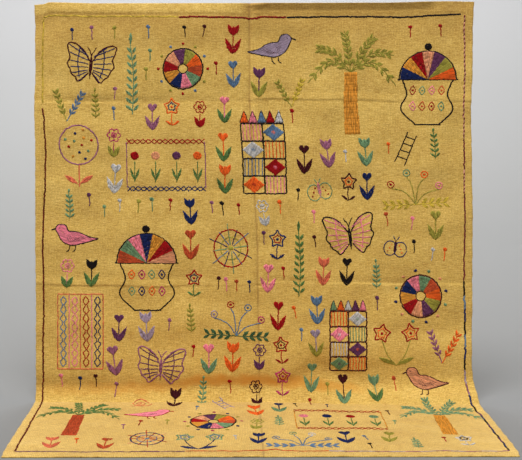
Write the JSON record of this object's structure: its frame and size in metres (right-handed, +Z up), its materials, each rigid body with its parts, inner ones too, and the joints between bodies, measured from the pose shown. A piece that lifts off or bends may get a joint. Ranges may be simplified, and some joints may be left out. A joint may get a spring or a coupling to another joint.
{
  "type": "embroidered kilim rug",
  "caption": "Flat-woven embroidered rug hung by its top edge, falling straight and bending forward to lie flat on the floor.",
  "frame": {"origin": "middle of the draped rug's box, on the floor plane", "axes": "+X across the rug to its right as seen from the front, +Y back towards the hanging plane, +Z up; the face looks towards -Y and, on the floor, up"},
  "size_m": [2.027, 0.7146, 1.8255],
  "materials": {
    "cloth": "plain-woven mustard wool, matt with a faint sheen"
  },
  "bodies": {
    "root": {"rug_cloth": "cloth"}
  },
  "joints": []
}
